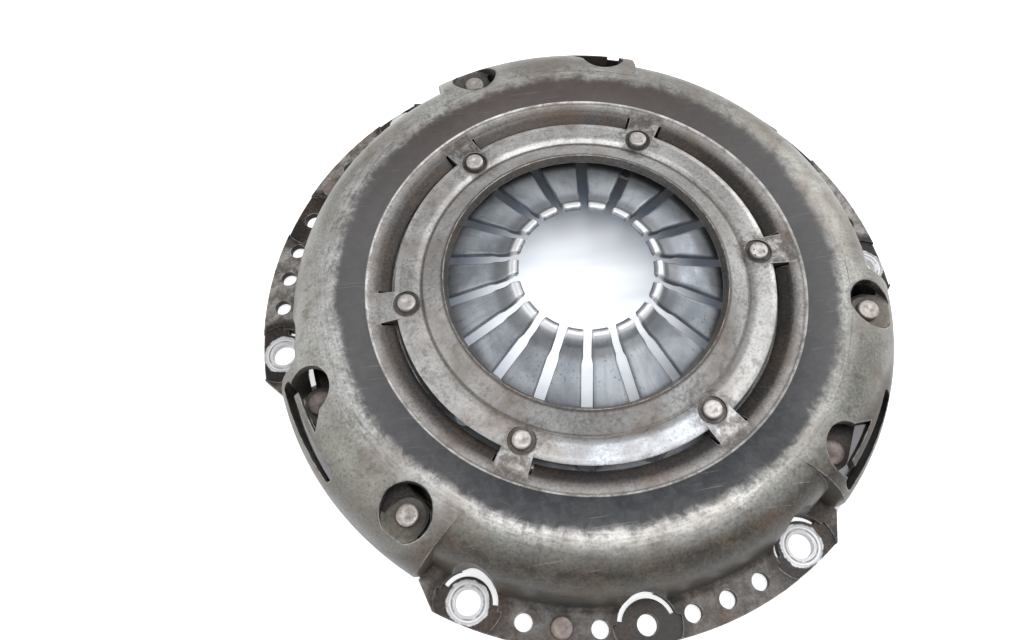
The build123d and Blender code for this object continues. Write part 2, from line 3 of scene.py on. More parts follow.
import bmesh
import bpy
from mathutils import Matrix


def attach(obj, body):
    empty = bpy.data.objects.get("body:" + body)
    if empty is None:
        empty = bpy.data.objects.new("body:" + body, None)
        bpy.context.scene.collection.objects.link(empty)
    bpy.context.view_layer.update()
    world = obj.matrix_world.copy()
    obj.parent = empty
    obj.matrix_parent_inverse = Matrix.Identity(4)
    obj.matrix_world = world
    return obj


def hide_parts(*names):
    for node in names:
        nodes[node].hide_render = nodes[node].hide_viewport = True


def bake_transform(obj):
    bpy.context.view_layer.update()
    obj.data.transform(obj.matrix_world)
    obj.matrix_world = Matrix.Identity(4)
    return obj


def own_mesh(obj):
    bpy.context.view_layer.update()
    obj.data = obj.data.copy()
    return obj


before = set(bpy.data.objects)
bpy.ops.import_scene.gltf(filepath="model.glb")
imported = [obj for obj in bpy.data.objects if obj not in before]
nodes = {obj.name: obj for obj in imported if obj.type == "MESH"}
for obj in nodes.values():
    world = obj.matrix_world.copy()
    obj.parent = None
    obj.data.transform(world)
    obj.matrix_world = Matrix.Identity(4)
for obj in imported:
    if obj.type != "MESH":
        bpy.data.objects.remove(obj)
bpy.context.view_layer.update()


# Pressure plate: a cast iron ring that clamps the clutch disc, with a ridge for the spring and three lugs.
# It is turned on its friction face, left as cast elsewhere, and hangs from the cover by three strap packs.

def feed(tree, node, inputs):
    """Gives each named or numbered input of a node a value or a link."""
    for key, value in inputs.items():
        if isinstance(value, bpy.types.NodeSocket):
            tree.links.new(value, node.inputs[key])
        else:
            node.inputs[key].default_value = value


def add_node(tree, kind, inputs=None, **settings):
    """Adds a node to a tree, with its properties set and its inputs fed."""
    node = tree.nodes.new(kind)
    for name, value in settings.items():
        setattr(node, name, value)
    feed(tree, node, inputs or {})
    return node


def work_out(tree, operation, *values, clamp=False):
    """One arithmetic step between sockets and numbers."""
    step = add_node(tree, "ShaderNodeMath", dict(enumerate(values)), operation=operation, use_clamp=clamp)
    return step.outputs[0]


def product(tree, *values):
    """Masks, values and numbers multiplied together."""
    result = values[0]
    for value in values[1:]:
        result = work_out(tree, "MULTIPLY", result, value)
    return result


def strayed(tree, value, wander, reach):
    """Value that a noise pushes up and down by up to half a reach."""
    return work_out(tree, "MULTIPLY_ADD", work_out(tree, "SUBTRACT", wander, 0.5), reach, value)


def vector_step(tree, operation, *values):
    """One step of vector arithmetic, with its Vector and Value outputs."""
    return add_node(tree, "ShaderNodeVectorMath", dict(enumerate(values)), operation=operation).outputs


def vector_from(tree, x=0.0, y=0.0, z=0.0):
    """Vector made of three values."""
    return add_node(tree, "ShaderNodeCombineXYZ", {0: x, 1: y, 2: z}).outputs[0]


def noise(tree, place, scale, detail=4.0, roughness=0.6, distortion=0.0):
    """Grey noise over a place."""
    return add_node(tree, "ShaderNodeTexNoise", {
        "Vector": place, "Scale": scale, "Detail": detail, "Roughness": roughness, "Distortion": distortion,
    }).outputs["Fac"]


def ramp(tree, value, start, end):
    """Smooth step of a value from 0 at a start to 1 at an end."""
    inputs = {"Value": value, "From Min": start, "From Max": end}
    return add_node(tree, "ShaderNodeMapRange", inputs, interpolation_type="SMOOTHSTEP").outputs["Result"]


def mix_colour(tree, share, first, second):
    """Mixes two colours by a share."""
    node = add_node(tree, "ShaderNodeMix", data_type="RGBA")
    feed(tree, node, {0: share, 6: first, 7: second})
    return node.outputs[2]


def new_group(name, inputs, outputs):
    """Empty shader node group with named sockets."""
    group = bpy.data.node_groups.new(name, "ShaderNodeTree")
    for label, kind, value in inputs:
        socket = group.interface.new_socket(label, in_out="INPUT", socket_type="NodeSocket" + kind)
        socket.default_value = value
    for label, kind in outputs:
        group.interface.new_socket(label, in_out="OUTPUT", socket_type="NodeSocket" + kind)
    return group, group.nodes.new("NodeGroupInput").outputs, group.nodes.new("NodeGroupOutput")


def place_group(tree, group, inputs):
    """Places a shader node group in a material and gives its outputs."""
    node = add_node(tree, "ShaderNodeGroup", node_tree=group)
    feed(tree, node, inputs)
    return node.outputs


def new_material(name):
    """New material, with its tree, its Principled shader and the object's own coordinates."""
    material = bpy.data.materials.new(name)
    material.use_nodes = True
    tree = material.node_tree
    place = tree.nodes.new("ShaderNodeTexCoord").outputs["Object"]
    return material, tree, tree.nodes["Principled BSDF"], place


def dress(name, material):
    """Gives a CAD node its finish."""
    nodes[name].data.materials.clear()
    nodes[name].data.materials.append(material)


# Radius and height about the clutch axis in millimetres, and angle in turns.
millimetres = 1000.0
clutch_axis, take, give = new_group(
    "clutch_axis",
    [("Place", "Vector", (0, 0, 0))],
    [("Radius", "Float"), ("Angle", "Float"), ("Height", "Float")],
)
axes = add_node(clutch_axis, "ShaderNodeSeparateXYZ", {0: take["Place"]}).outputs
reach = vector_step(clutch_axis, "LENGTH", vector_from(clutch_axis, axes[0], axes[1]))["Value"]
turn = work_out(clutch_axis, "DIVIDE", work_out(clutch_axis, "ARCTAN2", axes[1], axes[0]), 2 * math.pi)
feed(clutch_axis, give, {
    "Radius": product(clutch_axis, reach, millimetres),
    "Angle": turn,
    "Height": product(clutch_axis, axes[2], millimetres),
})

# Old steel: brown rust bloom in patches, dark pits, dirt with painted shade that gathers in corners and
# hollows, and a rough skin.
rust_dark = (0.07, 0.045, 0.03, 1)
rust_light = (0.20, 0.13, 0.085, 1)
pit_black = (0.03, 0.024, 0.02, 1)
corner_dirt_and_shade = (0.025, 0.02, 0.016, 1)
pit_wander = 0.0016
shelter_reach = 0.009
old_steel, take, give = new_group(
    "old_steel",
    [("Place", "Vector", (0, 0, 0)), ("Colour", "Color", (0.5, 0.5, 0.5, 1)), ("Roughness", "Float", 0.4),
     ("Rust", "Float", 0.5), ("Pits", "Float", 0.5), ("Dirt_and_shade", "Float", 0.5), ("Patch scale", "Float", 60.0),
     ("Mottle", "Float", 1.7)],
    [("Colour", "Color"), ("Roughness", "Float"), ("Height", "Float"), ("Open", "Float")],
)
patches = noise(old_steel, take["Place"], take["Patch scale"], detail=6.0, roughness=0.62, distortion=0.4)
grain = noise(old_steel, take["Place"], 900.0, detail=3.0, roughness=0.65)
bloom = work_out(old_steel, "ADD", patches, product(old_steel, grain, 0.4))
rust = work_out(old_steel, "MULTIPLY", ramp(old_steel, bloom, 0.62, 0.95), take["Rust"], clamp=True)
clusters = ramp(old_steel, noise(old_steel, take["Place"], 46.0, detail=3.0), 0.38, 0.60)
wander = add_node(old_steel, "ShaderNodeTexNoise", {"Vector": take["Place"], "Scale": 700.0})
pit_place = vector_step(
    old_steel, "MULTIPLY_ADD", wander.outputs["Color"], (pit_wander,) * 3, take["Place"],
)["Vector"]
cells = add_node(old_steel, "ShaderNodeTexVoronoi", {"Vector": pit_place, "Scale": 820.0}).outputs
chance = add_node(old_steel, "ShaderNodeSeparateColor", {0: cells["Color"]}).outputs[0]
dot_size = product(old_steel, ramp(old_steel, chance, 0.45, 1.0), 0.38)
dots = ramp(old_steel, work_out(old_steel, "SUBTRACT", dot_size, cells["Distance"]), -0.04, 0.08)
pits = work_out(old_steel, "MULTIPLY", product(old_steel, dots, clusters), take["Pits"], clamp=True)
hollows = add_node(old_steel, "ShaderNodeAmbientOcclusion", {"Distance": shelter_reach}, samples=4)
shelter = hollows.outputs["AO"]
# Dirt and painted shade darken the sheltered places.
dirt_and_shade = work_out(old_steel, "MULTIPLY", ramp(old_steel, shelter, 0.8, 0.25), take["Dirt_and_shade"], clamp=True)
mottle = strayed(old_steel, 1.0, grain, take["Mottle"])
toned = vector_step(old_steel, "MULTIPLY", take["Colour"], mottle)["Vector"]
toned = mix_colour(old_steel, rust, toned, mix_colour(old_steel, grain, rust_dark, rust_light))
toned = mix_colour(old_steel, pits, toned, pit_black)
toned = mix_colour(old_steel, dirt_and_shade, toned, corner_dirt_and_shade)
dulled = product(old_steel, work_out(old_steel, "MAXIMUM", rust, dirt_and_shade), 0.3)
feed(old_steel, give, {
    "Colour": toned,
    "Roughness": work_out(old_steel, "ADD", take["Roughness"], dulled, clamp=True),
    "Height": work_out(old_steel, "MULTIPLY_ADD", pits, -1.0, product(old_steel, grain, 0.5)),
    "Open": ramp(old_steel, shelter, 0.55, 0.8),
})

# Rounded edge: the light turns softly over an edge, and wear with a painted highlight keeps it bright.
rounded_edge, take, give = new_group(
    "rounded_edge", [("Round", "Float", 0.0006)], [("Wear_and_highlight", "Float"), ("Normal", "Vector")]
)
soft = add_node(rounded_edge, "ShaderNodeBevel", {"Radius": take["Round"]}, samples=4).outputs["Normal"]
hard = rounded_edge.nodes.new("ShaderNodeNewGeometry").outputs["Normal"]
agreement = vector_step(rounded_edge, "DOT_PRODUCT", soft, hard)["Value"]
feed(rounded_edge, give, {"Wear_and_highlight": ramp(rounded_edge, agreement, 0.98, 0.85), "Normal": soft})


def finish_surface(tree, shader, old, colour, edge, wear_and_highlight, worn_and_highlight_colour, depth):
    """Joins colour, open edges worn bright with a painted highlight, roughness and a fine skin to a shader.
    """
    share = product(tree, edge["Wear_and_highlight"], old["Open"], wear_and_highlight)
    skin = add_node(tree, "ShaderNodeBump", {
        "Height": old["Height"], "Distance": depth, "Normal": edge["Normal"],
    }).outputs[0]
    feed(tree, shader, {
        "Base Color": mix_colour(tree, share, colour, worn_and_highlight_colour),
        "Roughness": old["Roughness"],
        "Normal": skin,
    })


cast_skin = (0.07, 0.065, 0.06, 1)
turned_dark = (0.26, 0.26, 0.27, 1)
turned_light = (0.44, 0.44, 0.45, 1)
worn_and_highlight_bright = (0.5, 0.48, 0.45, 1)
turned_below = (2.9, 2.6)
cast_iron, tree, shader, place = new_material("cast_iron")
around = place_group(tree, clutch_axis, {"Place": place})
edge = place_group(tree, rounded_edge, {"Round": 0.0006})
rings = noise(tree, vector_from(tree, around["Radius"]), 2.2, detail=3.0)
turned = mix_colour(tree, rings, turned_dark, turned_light)
iron = mix_colour(tree, ramp(tree, around["Height"], *turned_below), cast_skin, turned)
old = place_group(tree, old_steel, {
    "Place": place, "Colour": iron, "Roughness": 0.42, "Rust": 0.45, "Pits": 0.4, "Dirt_and_shade": 0.5,
})
finish_surface(tree, shader, old, old["Colour"], edge, 0.3, worn_and_highlight_bright, depth=0.00006)
shader.inputs["Metallic"].default_value = 0.7
dress("pressure_plate", cast_iron)


# Strap packs: three thin spring steel leaves at each station, riveted to a cover pad and to a plate lug.
# They pull the plate clear of the disc and bend into an S as it lifts; here each leaf is made once, gently
# stepped between its rivets.

leaf_width = 0.0129
leaf_thickness = 0.0008
leaf_pitch = 0.00085
leaf_flat = 0.013
leaf_end_half_width = 0.0002
leaf_steps = 40
cover_rivet_radius = 0.1107
plate_rivet_radius = 0.1115
pad_underside = 0.0215
lug_top = 0.0135
first_rivet_angle = 15.0
second_rivet_angle = 45.0
station_turn = 120.0


def on_circle(radius, degrees, height=0.0):
    """Point at a radius, an angle and a height about the clutch axis."""
    angle = math.radians(degrees)
    return (radius * math.cos(angle), radius * math.sin(angle), height)


def new_piece(name, vertices, faces, material):
    """Mesh object at the origin, smooth on its curves and sharp at its corners."""
    mesh = bpy.data.meshes.new(name)
    mesh.from_pydata(vertices, [], faces)
    mesh.validate()
    mesh.materials.append(material)
    mesh.polygons.foreach_set("use_smooth", [True] * len(mesh.polygons))
    mesh.set_sharp_from_angle(angle=math.radians(40))
    piece = bpy.data.objects.new(name, mesh)
    bpy.context.collection.objects.link(piece)
    return piece


def leaf_piece(name, start, end, start_top, end_top, material):
    """One leaf as a thin ribbon with round ends, flat at both rivets and gently stepped between them."""
    length = math.dist(start[:2], end[:2])
    along = [(b - a) / length for a, b in zip(start[:2], end[:2])]
    half = leaf_width / 2
    vertices = []
    for index in range(leaf_steps + 1):
        share = (1 - math.cos(math.pi * index / leaf_steps)) / 2
        place = -half + share * (length + 2 * half)
        over = max(-place, place - length, 0.0)
        width = math.sqrt(max(half * half - over * over, 0.0)) + leaf_end_half_width
        bend = min(max((place - leaf_flat) / (length - 2 * leaf_flat), 0.0), 1.0)
        top = start_top + (end_top - start_top) * bend * bend * (3 - 2 * bend)
        for side, drop in ((-1, 0), (1, 0), (1, leaf_thickness), (-1, leaf_thickness)):
            x = start[0] + along[0] * place - along[1] * side * width
            y = start[1] + along[1] * place + along[0] * side * width
            vertices.append((x, y, top - drop))
    faces = [(0, 1, 2, 3), tuple(4 * leaf_steps + corner for corner in (3, 2, 1, 0))]
    for index in range(leaf_steps):
        for corner in range(4):
            following = (corner + 1) % 4
            near, far = 4 * index, 4 * index + 4
            faces.append((near + corner, far + corner, far + following, near + following))
    return new_piece(name, vertices, faces, material)


def old_metal(name, colour, metallic, roughness, rust, pits, dirt_and_shade, patch_scale=60.0):
    """Old bare metal of one colour, worn bright at its edges, with a painted highlight there."""
    material, tree, shader, place = new_material(name)
    edge = place_group(tree, rounded_edge, {"Round": 0.0005})
    old = place_group(tree, old_steel, {
        "Place": place, "Colour": colour, "Roughness": roughness, "Rust": rust, "Pits": pits, "Dirt_and_shade": dirt_and_shade,
        "Patch scale": patch_scale,
    })
    finish_surface(tree, shader, old, old["Colour"], edge, 0.35, worn_and_highlight_bright, depth=0.00005)
    shader.inputs["Metallic"].default_value = metallic
    return material


# The strap steel is made very dark as painted shade, for the dim inside of the cover.
strap_steel = old_metal(
    "strap_steel", (0.085, 0.08, 0.076, 1), metallic=0.6, roughness=0.45, rust=0.4, pits=0.4, dirt_and_shade=0.7,
)
stack_top = lug_top + 2 * leaf_pitch + leaf_thickness
for station in range(3):
    pad_place = on_circle(cover_rivet_radius, -first_rivet_angle - station * station_turn)
    lug_place = on_circle(plate_rivet_radius, -second_rivet_angle - station * station_turn)
    for leaf in range(3):
        piece = leaf_piece(
            f"strap_{station + 1}_spring_leaf_{leaf + 1}", pad_place, lug_place,
            pad_underside - leaf * leaf_pitch, stack_top - leaf * leaf_pitch, strap_steel,
        )
        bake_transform(piece)
        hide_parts(f"strap_{station + 1}_leaf_{leaf + 1}")


# Strap rivets: soft steel rivets at both ends of each pack, grey on the pads and rusty brown on the lugs.
# Their heads are set round-edged with a shallow dimple, and their feet are spread under the stack.

sheet_thickness = 0.0035
pad_top = pad_underside + sheet_thickness
stack_bottom = pad_underside - 2 * leaf_pitch - leaf_thickness
cover_head_radius = 0.00415
cover_head_height = 0.0025
plate_head_radius = 0.005
plate_head_height = 0.0022
head_dimple = 0.0003
shank_radius = 0.003
foot_radius = 0.00475
foot_height = 0.0018
foot_side = 0.0014
lug_bottom = 0.006
lug_foot_height = 0.002
rivet_sides = 40
weld_distance = 0.000002


def outward_mesh(name, vertices, faces, left_open=None):
    """Smooth mesh with its faces pointing outwards, without the faces that are to be left open."""
    mesh = bpy.data.meshes.new(name)
    mesh.from_pydata(vertices, [], faces)
    shape = bmesh.new()
    shape.from_mesh(mesh)
    if left_open:
        unwanted = [face for face in shape.faces if left_open(face)]
        bmesh.ops.delete(shape, geom=unwanted, context="FACES")
    bmesh.ops.recalc_face_normals(shape, faces=shape.faces)
    shape.to_mesh(mesh)
    shape.free()
    mesh.polygons.foreach_set("use_smooth", [True] * len(mesh.polygons))
    return mesh


def turned_form(name, outline):
    """Solid of revolution from (radius, height) corners that start and end on the axis."""
    inner = outline[1:-1]
    vertices = [(0, 0, outline[0][1]), (0, 0, outline[-1][1])]
    for radius, height in inner:
        vertices += [on_circle(radius, 360.0 * index / rivet_sides, height) for index in range(rivet_sides)]
    last = 2 + (len(inner) - 1) * rivet_sides
    faces = []
    for index in range(rivet_sides):
        following = (index + 1) % rivet_sides
        faces.append((0, 2 + index, 2 + following))
        faces.append((1, last + following, last + index))
        for low in range(2, last, rivet_sides):
            high = low + rivet_sides
            faces.append((low + index, high + index, high + following, low + following))
    mesh = outward_mesh(name, vertices, faces)
    mesh.set_sharp_from_angle(angle=math.radians(50))
    return bpy.data.objects.new(name, mesh)


def head_outline(radius, seat, top, dimple):
    """Corners of a rivet head with a rounded rim and a shallow dimple, from its axis down to its seat."""
    rim_round = 0.35 * (top - seat)
    dimple_floor = 0.22 * radius
    dimple_mouth = 0.36 * radius
    foot_of_head = 1.01 * radius
    corners = [(0, top - dimple), (dimple_floor, top - dimple), (dimple_mouth, top)]
    for degrees in (0.0, 22.5, 45.0, 67.5, 90.0):
        angle = math.radians(degrees)
        out = radius - rim_round + rim_round * math.sin(angle)
        level = top - rim_round + rim_round * math.cos(angle)
        corners.append((out, level))
    return corners + [(foot_of_head, seat)]


# Geometry Nodes tree that sets copies of one form around the clutch axis.
around_axis = bpy.data.node_groups.new("set_around_axis", "GeometryNodeTree")
around_axis.interface.new_socket("Geometry", in_out="INPUT", socket_type="NodeSocketGeometry")
for label, kind in (
    ("Form", "Object"), ("Count", "Int"), ("Circle radius", "Float"), ("First angle", "Float"),
    ("Step angle", "Float"), ("Finish", "Material"),
):
    around_axis.interface.new_socket(label, in_out="INPUT", socket_type="NodeSocket" + kind)
around_axis.interface.new_socket("Geometry", in_out="OUTPUT", socket_type="NodeSocketGeometry")
sizes = around_axis.nodes.new("NodeGroupInput").outputs
points = add_node(around_axis, "GeometryNodeMeshLine", {"Count": sizes["Count"]}).outputs[0]
number = around_axis.nodes.new("GeometryNodeInputIndex").outputs[0]
angle = work_out(around_axis, "MULTIPLY_ADD", number, sizes["Step angle"], sizes["First angle"])
angle = work_out(around_axis, "RADIANS", angle)
spot = vector_from(
    around_axis,
    product(around_axis, work_out(around_axis, "COSINE", angle), sizes["Circle radius"]),
    product(around_axis, work_out(around_axis, "SINE", angle), sizes["Circle radius"]),
)
points = add_node(around_axis, "GeometryNodeSetPosition", {"Geometry": points, "Position": spot}).outputs[0]
form = add_node(around_axis, "GeometryNodeObjectInfo", {"Object": sizes["Form"]}).outputs["Geometry"]
copies = add_node(around_axis, "GeometryNodeInstanceOnPoints", {
    "Points": points, "Instance": form, "Rotation": vector_from(around_axis, z=angle),
}).outputs[0]
whole = add_node(around_axis, "GeometryNodeRealizeInstances", {"Geometry": copies}).outputs[0]
whole = add_node(around_axis, "GeometryNodeMergeByDistance", {
    "Geometry": whole, "Distance": weld_distance,
}).outputs[0]
whole = add_node(around_axis, "GeometryNodeSetMaterial", {
    "Geometry": whole, "Material": sizes["Finish"],
}).outputs[0]
feed(around_axis, around_axis.nodes.new("NodeGroupOutput"), {0: whole})


def set_around(name, form_object, count, radius, first_angle, step_angle, material):
    """Plain mesh piece made of copies of a form, which the tree sets around the clutch axis."""
    bpy.context.collection.objects.link(form_object)
    carrier = bpy.data.objects.new(name + "_carrier", bpy.data.meshes.new(name + "_carrier"))
    bpy.context.collection.objects.link(carrier)
    modifier = carrier.modifiers.new("set_around_axis", "NODES")
    modifier.node_group = around_axis
    values = {
        "Form": form_object, "Count": count, "Circle radius": radius, "First angle": first_angle,
        "Step angle": step_angle, "Finish": material,
    }
    for socket in around_axis.interface.items_tree:
        if socket.in_out == "INPUT" and socket.name in values:
            modifier[socket.identifier] = values[socket.name]
    bpy.context.view_layer.update()
    seen = carrier.evaluated_get(bpy.context.evaluated_depsgraph_get())
    mesh = bpy.data.meshes.new_from_object(seen)
    mesh.name = name
    carrier.modifiers.remove(modifier)
    bpy.data.objects.remove(carrier)
    bpy.data.objects.remove(form_object)
    piece = bpy.data.objects.new(name, mesh)
    bpy.context.collection.objects.link(piece)
    return piece


def fit(piece, body, replaced):
    """Lets a finished piece ride on its body in place of the CAD nodes it stands for."""
    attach(piece, body)
    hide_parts(*replaced)


rivet_brown = old_metal(
    "strap_rivet_brown", (0.20, 0.162, 0.147, 1),
    metallic=0.35, roughness=0.45, rust=0.45, pits=0.4, dirt_and_shade=0.4, patch_scale=150.0,
)
rivet_grey = old_metal(
    "pad_rivet_grey", (0.38, 0.345, 0.32, 1),
    metallic=0.45, roughness=0.36, rust=0.4, pits=0.35, dirt_and_shade=0.4, patch_scale=150.0,
)
cover_head = head_outline(cover_head_radius, pad_top, pad_top + cover_head_height, head_dimple)
cover_rivet = turned_form("cover_strap_rivet", cover_head + [
    (shank_radius, pad_top), (shank_radius, stack_bottom), (foot_radius, stack_bottom),
    (foot_radius * 0.95, stack_bottom - foot_side), (foot_radius * 0.8, stack_bottom - foot_height),
    (0, stack_bottom - foot_height),
])
piece = set_around(
    "cover_strap_rivets", cover_rivet, 3, cover_rivet_radius, -first_rivet_angle, -station_turn,
    rivet_grey,
)
fit(piece, "cover_assembly", [f"cover_strap_rivet_{number}" for number in (1, 2, 3)])
plate_head = head_outline(plate_head_radius, stack_top, stack_top + plate_head_height, head_dimple)
plate_rivet = turned_form("plate_strap_rivet", plate_head + [
    (shank_radius, stack_top), (shank_radius, lug_bottom), (foot_radius, lug_bottom),
    (foot_radius, lug_bottom - lug_foot_height), (0, lug_bottom - lug_foot_height),
])
piece = set_around(
    "plate_strap_rivets", plate_rivet, 3, plate_rivet_radius, -second_rivet_angle, -station_turn,
    rivet_brown,
)
fit(piece, "plate_assembly", [f"plate_strap_rivet_{number}" for number in (1, 2, 3)])


# Fulcrum rings: two closed rings of round hardened wire, above and below the spring, on which it rocks.
# The ring rivets carry the lower one, and the upper one lies between the spring and the cover's inner ring.

# The wire is made pale and only half metallic as a painted highlight, so that it shows bright in the gaps.
wire_steel = old_metal(
    "fulcrum_wire", (0.80, 0.79, 0.77, 1), metallic=0.5, roughness=0.3, rust=0.15, pits=0.2, dirt_and_shade=0.1,
)
dress("upper_fulcrum_ring", wire_steel)
dress("lower_fulcrum_ring", wire_steel)


# Diaphragm spring: a cone of hardened steel slotted into 18 fingers, satin blue-grey from heat treatment.
# The release bearing rubs on the raised tips and polishes them bright.

finger_count = 18
finger_columns = 9
spring_thickness = 0.0028
tip_end = (0.0256, 0.0417)
tip_crest = (0.0282, 0.04285)
tip_heel = (0.0314, 0.0389)
finger_root = (0.0600, 0.0275)
spring_rim = (0.0995, 0.0188)
crest_round = 0.0018
heel_round = 0.0014
root_round = 0.006
slot_half_width = 0.0022
tip_slot_half_width = 0.0016
slot_step_radius = 0.036
keyhole_place = 0.0695
keyhole_radius = 0.0044
edge_round = 0.0004
row_spacing = 0.0025
underside_shift = 0.0031
hair = 1e-9
hair_angle = 1e-6


def bent_line(corners, rounds, steps=6):
    """Line of (radius, height) points through corners, with each inner corner rounded."""
    line = [corners[0]]
    for before, corner, after, size in zip(corners, corners[1:], corners[2:], rounds):
        near = size / math.dist(before, corner)
        far = size / math.dist(corner, after)
        first = [c + (b - c) * near for b, c in zip(before, corner)]
        last = [c + (a - c) * far for a, c in zip(after, corner)]
        for step in range(steps + 1):
            share = step / steps
            line.append(tuple(
                (1 - share) ** 2 * a + 2 * share * (1 - share) * b + share ** 2 * c
                for a, b, c in zip(first, corner, last)
            ))
    return line + [corners[-1]]


def refined(line, stops, spacing):
    """Line with a point at each stop and no two points further apart than a spacing, in radius."""
    radii = sorted({round(point[0], 7) for point in line} | set(stops))
    filled = [radii[0]]
    for radius in radii[1:]:
        begin = filled[-1]
        parts = max(1, math.ceil((radius - begin) / spacing))
        filled += [begin + (radius - begin) * part / parts for part in range(1, parts + 1)]
    result = []
    for radius in filled:
        for (r0, z0), (r1, z1) in zip(line, line[1:]):
            if r0 <= radius <= r1 + hair:
                result.append((radius, z0 + (z1 - z0) * (radius - r0) / max(r1 - r0, hair)))
                break
    return result


def slot_edge(radius):
    """Half width of the slot between two fingers at a radius, and zero outside the keyhole."""
    straight = tip_slot_half_width if radius < slot_step_radius else slot_half_width
    off = abs(radius - keyhole_place)
    hole = math.sqrt(max(keyhole_radius ** 2 - off ** 2, 0.0))
    return max(straight, hole) if radius < keyhole_place else hole


def finger_row(line, index):
    """Ring of points around a finger at one point of its line, round-edged where a slot bounds it."""
    radius, height = line[index]
    r0, z0 = line[max(index - 1, 0)]
    r1, z1 = line[min(index + 1, len(line) - 1)]
    run = math.hypot(r1 - r0, z1 - z0)
    inward = ((z1 - z0) / run, -(r1 - r0) / run)
    slot = slot_edge(radius)
    half_angle = math.pi / finger_count - math.asin(min(slot / radius, 1.0))
    inset = edge_round / (radius * half_angle) if slot > 0 else 0.0
    levels = [edge_round, spring_thickness - edge_round] if slot > 0 else [spring_thickness / 2] * 2
    end_trim = edge_round * 0.5 if index in (0, len(line) - 1) else 0.0
    shares = [-1 + 2 * column / (finger_columns - 1) for column in range(finger_columns)]
    shares[0], shares[-1] = -1 + inset, 1 - inset
    top = [(share, end_trim) for share in shares]
    left_wall = [(1, level) for level in levels]
    underside = [(share, spring_thickness - end_trim) for share in reversed(shares)]
    right_wall = [(-1, level) for level in reversed(levels)]
    return [
        on_circle(radius + inward[0] * depth, math.degrees(share * half_angle), height + inward[1] * depth)
        for share, depth in top + left_wall + underside + right_wall
    ]


def joins_next_finger(face):
    """Tells whether a face lies where two fingers meet in the rim, outside the keyhole."""
    for corner in face.verts:
        angle = abs(math.atan2(corner.co.y, corner.co.x))
        if math.hypot(corner.co.x, corner.co.y) <= keyhole_place + keyhole_radius - underside_shift:
            return False
        if abs(angle - math.pi / finger_count) >= hair_angle:
            return False
    return True


def finger_form():
    """One finger with its share of the spring's rim, open where it joins the next one."""
    keyhole_stops = {keyhole_place + keyhole_radius * math.sin(math.radians(a)) for a in range(-66, 91, 8)}
    corners = [tip_end, tip_crest, tip_heel, finger_root, spring_rim]
    line = refined(bent_line(corners, (crest_round, heel_round, root_round)), keyhole_stops, row_spacing)
    rows = [finger_row(line, index) for index in range(len(line))]
    count = len(rows[0])
    faces = []
    for near in range(0, (len(rows) - 1) * count, count):
        far = near + count
        for index in range(count):
            following = (index + 1) % count
            faces.append((near + index, near + following, far + following, far + index))
    faces.append(tuple(range(count)))
    faces.append(tuple(reversed(range((len(rows) - 1) * count, len(rows) * count))))
    vertices = [point for row in rows for point in row]
    mesh = outward_mesh("spring_finger", vertices, faces, left_open=joins_next_finger)
    return bpy.data.objects.new("spring_finger", mesh)


def between(tree, value, rise, fall):
    """Mask of a value between two soft edges, each given as where it is 0 and where it is 1."""
    return product(tree, ramp(tree, value, *rise), ramp(tree, value, *fall))


def tinted(tree, colour, mask, strength, tone):
    """Colour with a tone laid over it where a mask is, at a strength."""
    return mix_colour(tree, product(tree, mask, strength), colour, tone)


satin_dark = (0.20, 0.22, 0.245, 1)
satin_light = (0.40, 0.43, 0.46, 1)
ray_grey = (0.16, 0.165, 0.17, 1)
riser_shade_grey = (0.075, 0.078, 0.082, 1)
tip_bright = (0.72, 0.72, 0.73, 1)
finger_edge_wear_and_highlight = (0.6, 0.61, 0.62, 1)
riser_shade_outer_edge = (38.0, 34.0)
riser_shade_inner_edge = (29.5, 31.5)
polish_outer_edge = (31.0, 29.6)
polish_inner_edge = (26.6, 27.4)
spring_steel, tree, shader, place = new_material("spring_steel")
around = place_group(tree, clutch_axis, {"Place": place})
edge = place_group(tree, rounded_edge, {"Round": edge_round})
cloud = noise(tree, place, 38.0, detail=5.0, distortion=0.5)
ray_place = vector_from(tree, product(tree, around["Radius"], 0.06), product(tree, around["Angle"], 190.0))
rays = noise(tree, ray_place, 1.0)
satin = mix_colour(tree, ramp(tree, cloud, 0.35, 0.65), satin_dark, satin_light)
satin = tinted(tree, satin, ramp(tree, rays, 0.45, 0.7), 0.28, ray_grey)
old = place_group(tree, old_steel, {
    "Place": place, "Colour": satin, "Roughness": 0.38, "Rust": 0.2, "Pits": 0.4, "Dirt_and_shade": 0.5,
    "Mottle": 0.3,
})
# Painted shade darkens a ring of the fingers just outside the polished tips.
riser_shade = between(tree, around["Radius"], riser_shade_outer_edge, riser_shade_inner_edge)
finish = tinted(tree, old["Colour"], riser_shade, 0.6, riser_shade_grey)
polish_reach = work_out(tree, "MULTIPLY_ADD", cloud, 1.6, around["Radius"])
polish = product(
    tree, ramp(tree, polish_reach, *polish_outer_edge), ramp(tree, around["Radius"], *polish_inner_edge),
)
finish = mix_colour(tree, polish, finish, tip_bright)
finish_surface(tree, shader, old, finish, edge, 0.4, finger_edge_wear_and_highlight, depth=0.00003)
shader.inputs["Metallic"].default_value = 0.5
pitch = 360.0 / finger_count
spring = set_around("spring", finger_form(), finger_count, 0.0, pitch / 2, pitch, spring_steel)
fit(spring, "cover_assembly", ["diaphragm_spring"])
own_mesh(spring)


# Ring rivets: six stepped rivets that hang the spring and its wires from the cover's inner ring.
# Their heads sit in small spot-faced seats on the ring, pale where they are bare.

